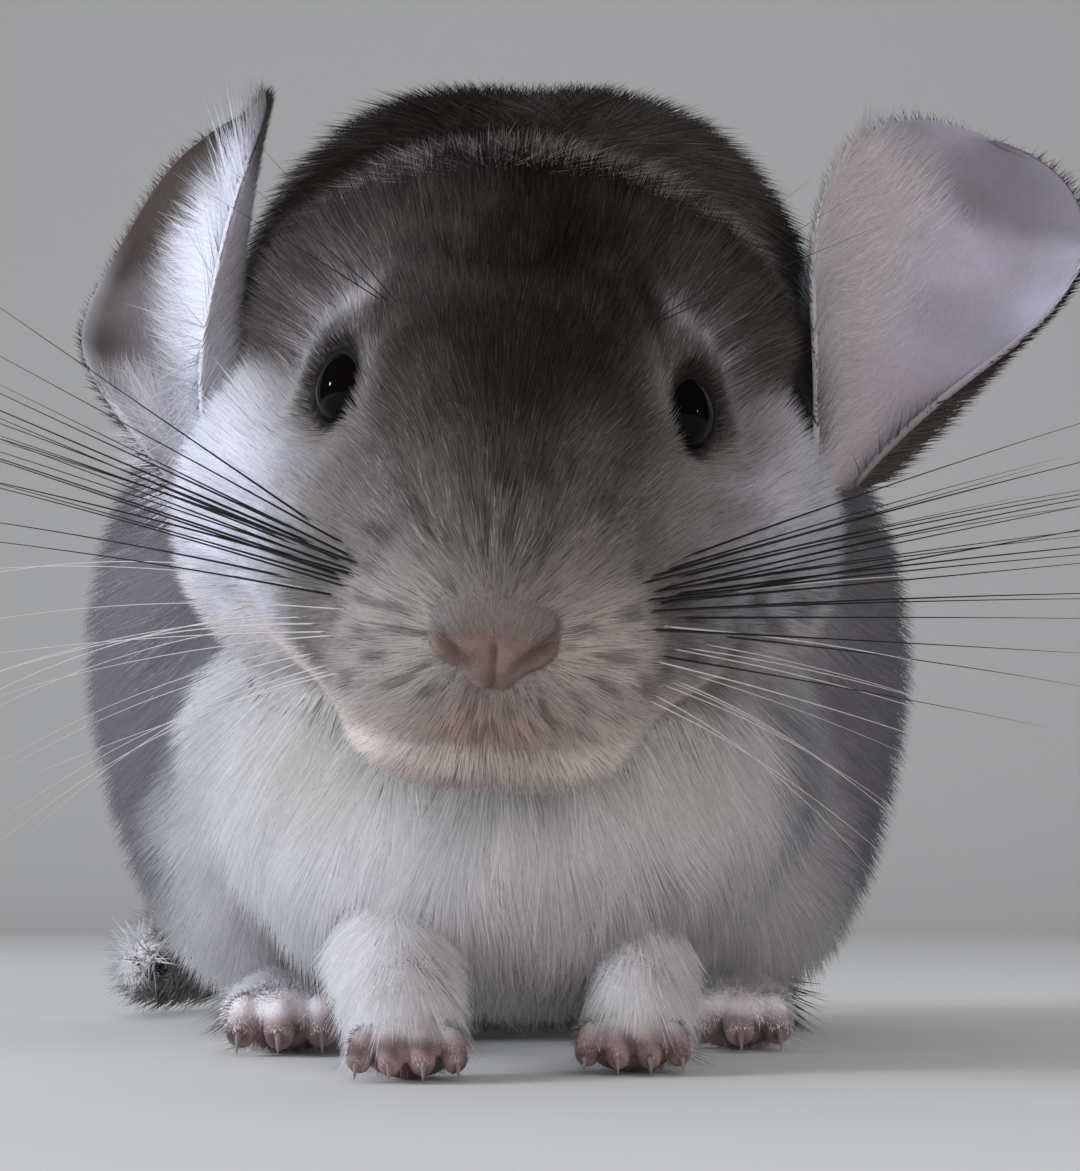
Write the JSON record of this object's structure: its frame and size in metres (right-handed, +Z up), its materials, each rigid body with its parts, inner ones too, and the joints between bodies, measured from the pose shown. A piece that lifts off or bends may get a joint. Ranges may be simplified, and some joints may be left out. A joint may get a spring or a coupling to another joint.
{
  "type": "chinchilla",
  "caption": "Life-size still model of a sitting chinchilla with a round furry body, large ears, long whiskers and a bushy tail curled round one haunch.",
  "frame": {"origin": "middle of the bounding box in plan, on the floor that the animal sits on", "axes": "+Z up, the animal faces -Y, +X is its own left side"},
  "size_m": [0.1792, 0.2416, 0.138],
  "materials": {
    "coat_grey": "dense soft grey coat with pale tips",
    "coat_dark": "dense dark grey-brown coat",
    "coat_white": "off-white belly and foot coat",
    "skin": "thin matt skin of nose, ears and pads",
    "eye": "glossy black",
    "horn": "claws and whiskers"
  },
  "bodies": {
    "root": {"head": "coat_dark", "muzzle": "coat_grey", "lower_jaw": "coat_white", "nose": "skin", "whisker_pad_right": "coat_grey", "whisker_pad_left": "coat_grey", "eye_right": "eye", "eye_left": "eye", "ear_right": "skin", "ear_left": "skin", "forepaw_right": "coat_white", "forepaw_left": "coat_white", "foreleg_right": "coat_white", "foreleg_left": "coat_white", "hindfoot_right": "coat_white", "hindfoot_left": "coat_white", "neck": "coat_grey", "thigh_right": "coat_grey", "thigh_left": "coat_grey", "torso": "coat_grey", "tail_root": "coat_dark", "tail_brush": "coat_dark"}
  },
  "joints": []
}
